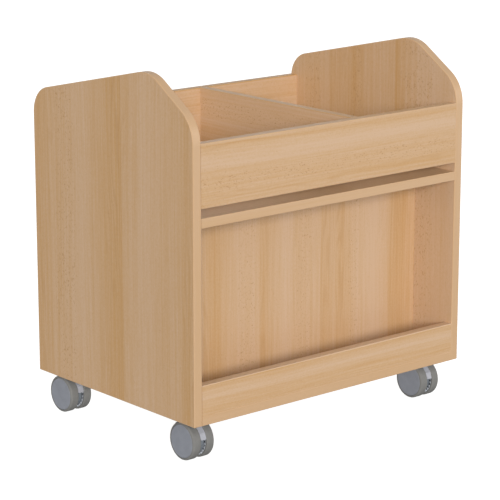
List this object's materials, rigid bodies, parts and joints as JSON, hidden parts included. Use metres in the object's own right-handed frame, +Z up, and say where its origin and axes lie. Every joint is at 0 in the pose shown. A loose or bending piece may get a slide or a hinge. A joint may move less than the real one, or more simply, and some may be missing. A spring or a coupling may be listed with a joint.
{
  "type": "book cart",
  "caption": "Wheeled classroom cart of laminated boards with an open divided bin on top, a lipped display ledge in front and twin-wheel castors.",
  "frame": {"origin": "on the floor, under the middle of the cart", "axes": "+Z up, -Y towards the display side, +X to the right of a person facing it"},
  "size_m": [0.7, 0.5, 0.7387],
  "materials": {
    "beech_laminate": "satin melamine-faced chipboard, beech decor",
    "beech_banding": "satin plastic edge banding in the same decor",
    "dowel_wood": "plain beech",
    "zinc_steel": "zinc plated",
    "castor_dark": "dark grey moulding",
    "castor_silver": "light silver-grey moulding",
    "castor_grey": "smooth grey moulding",
    "castor_tread": "soft grey non-marking tread"
  },
  "bodies": {
    "cabinet": {"left_side_panel": "beech_laminate", "right_side_panel": "beech_laminate", "bottom_board": "beech_laminate", "shelf_board": "beech_laminate", "front_panel": "beech_laminate", "rear_panel": "beech_laminate", "divider_panel": "beech_laminate", "display_back_panel": "beech_laminate", "display_lip": "beech_laminate", "left_side_edging": "beech_banding", "right_side_edging": "beech_banding", "bottom_board_edging": "beech_banding", "shelf_edging": "beech_banding", "front_panel_edging": "beech_banding", "rear_panel_edging": "beech_banding", "divider_edging": "beech_banding", "lip_edging": "beech_banding", "wood_dowels": "dowel_wood", "cam_bolts": "zinc_steel", "cam_locks": "zinc_steel", "castor_screws": "zinc_steel", "kingpins": "zinc_steel", "swivel_balls": "zinc_steel", "front_left_mounting_plate": "zinc_steel", "front_right_mounting_plate": "zinc_steel", "rear_left_mounting_plate": "zinc_steel", "rear_right_mounting_plate": "zinc_steel"},
    "front_left_swivel": {"front_left_housing": "castor_dark", "front_left_fender": "castor_silver", "front_left_axle": "zinc_steel", "front_left_lever_pin": "zinc_steel"},
    "front_left_brake": {"front_left_brake_lever": "castor_silver"},
    "front_left_left_wheel": {"front_left_left_wheel_core": "castor_grey", "front_left_left_wheel_tread": "castor_tread"},
    "front_left_right_wheel": {"front_left_right_wheel_core": "castor_grey", "front_left_right_wheel_tread": "castor_tread"},
    "front_right_swivel": {"front_right_housing": "castor_dark", "front_right_fender": "castor_silver", "front_right_axle": "zinc_steel", "front_right_lever_pin": "zinc_steel"},
    "front_right_brake": {"front_right_brake_lever": "castor_silver"},
    "front_right_left_wheel": {"front_right_left_wheel_core": "castor_grey", "front_right_left_wheel_tread": "castor_tread"},
    "front_right_right_wheel": {"front_right_right_wheel_core": "castor_grey", "front_right_right_wheel_tread": "castor_tread"},
    "rear_left_swivel": {"rear_left_housing": "castor_dark", "rear_left_fender": "castor_silver", "rear_left_axle": "zinc_steel"},
    "rear_left_left_wheel": {"rear_left_left_wheel_core": "castor_grey", "rear_left_left_wheel_tread": "castor_tread"},
    "rear_left_right_wheel": {"rear_left_right_wheel_core": "castor_grey", "rear_left_right_wheel_tread": "castor_tread"},
    "rear_right_swivel": {"rear_right_housing": "castor_dark", "rear_right_fender": "castor_silver", "rear_right_axle": "zinc_steel"},
    "rear_right_left_wheel": {"rear_right_left_wheel_core": "castor_grey", "rear_right_left_wheel_tread": "castor_tread"},
    "rear_right_right_wheel": {"rear_right_right_wheel_core": "castor_grey", "rear_right_right_wheel_tread": "castor_tread"}
  },
  "joints": [
    {"name": "front_left_swivel_turn", "type": "hinge", "parent": "cabinet", "child": "front_left_swivel", "pos_m": [-0.3025, -0.196, 0.0775], "axis": [0, 0, 1], "continuous": true},
    {"name": "front_left_brake_press", "type": "hinge", "parent": "front_left_swivel", "child": "front_left_brake", "pos_m": [-0.3025, -0.169, 0.064], "axis": [-1, 0, 0], "range_deg": [0, 10]},
    {"name": "front_left_left_wheel_roll", "type": "hinge", "parent": "front_left_swivel", "child": "front_left_left_wheel", "pos_m": [-0.31875, -0.183, 0.0375], "axis": [1, 0, 0], "continuous": true},
    {"name": "front_left_right_wheel_roll", "type": "hinge", "parent": "front_left_swivel", "child": "front_left_right_wheel", "pos_m": [-0.28625, -0.183, 0.0375], "axis": [1, 0, 0], "continuous": true},
    {"name": "front_right_swivel_turn", "type": "hinge", "parent": "cabinet", "child": "front_right_swivel", "pos_m": [0.3025, -0.196, 0.0775], "axis": [0, 0, 1], "continuous": true},
    {"name": "front_right_brake_press", "type": "hinge", "parent": "front_right_swivel", "child": "front_right_brake", "pos_m": [0.3025, -0.169, 0.064], "axis": [-1, 0, 0], "range_deg": [0, 10]},
    {"name": "front_right_left_wheel_roll", "type": "hinge", "parent": "front_right_swivel", "child": "front_right_left_wheel", "pos_m": [0.28625, -0.183, 0.0375], "axis": [1, 0, 0], "continuous": true},
    {"name": "front_right_right_wheel_roll", "type": "hinge", "parent": "front_right_swivel", "child": "front_right_right_wheel", "pos_m": [0.31875, -0.183, 0.0375], "axis": [1, 0, 0], "continuous": true},
    {"name": "rear_left_swivel_turn", "type": "hinge", "parent": "cabinet", "child": "rear_left_swivel", "pos_m": [-0.3025, 0.196, 0.0775], "axis": [0, 0, 1], "continuous": true},
    {"name": "rear_left_left_wheel_roll", "type": "hinge", "parent": "rear_left_swivel", "child": "rear_left_left_wheel", "pos_m": [-0.31875, 0.209, 0.0375], "axis": [1, 0, 0], "continuous": true},
    {"name": "rear_left_right_wheel_roll", "type": "hinge", "parent": "rear_left_swivel", "child": "rear_left_right_wheel", "pos_m": [-0.28625, 0.209, 0.0375], "axis": [1, 0, 0], "continuous": true},
    {"name": "rear_right_swivel_turn", "type": "hinge", "parent": "cabinet", "child": "rear_right_swivel", "pos_m": [0.3025, 0.196, 0.0775], "axis": [0, 0, 1], "continuous": true},
    {"name": "rear_right_left_wheel_roll", "type": "hinge", "parent": "rear_right_swivel", "child": "rear_right_left_wheel", "pos_m": [0.28625, 0.209, 0.0375], "axis": [1, 0, 0], "continuous": true},
    {"name": "rear_right_right_wheel_roll", "type": "hinge", "parent": "rear_right_swivel", "child": "rear_right_right_wheel", "pos_m": [0.31875, 0.209, 0.0375], "axis": [1, 0, 0], "continuous": true}
  ]
}
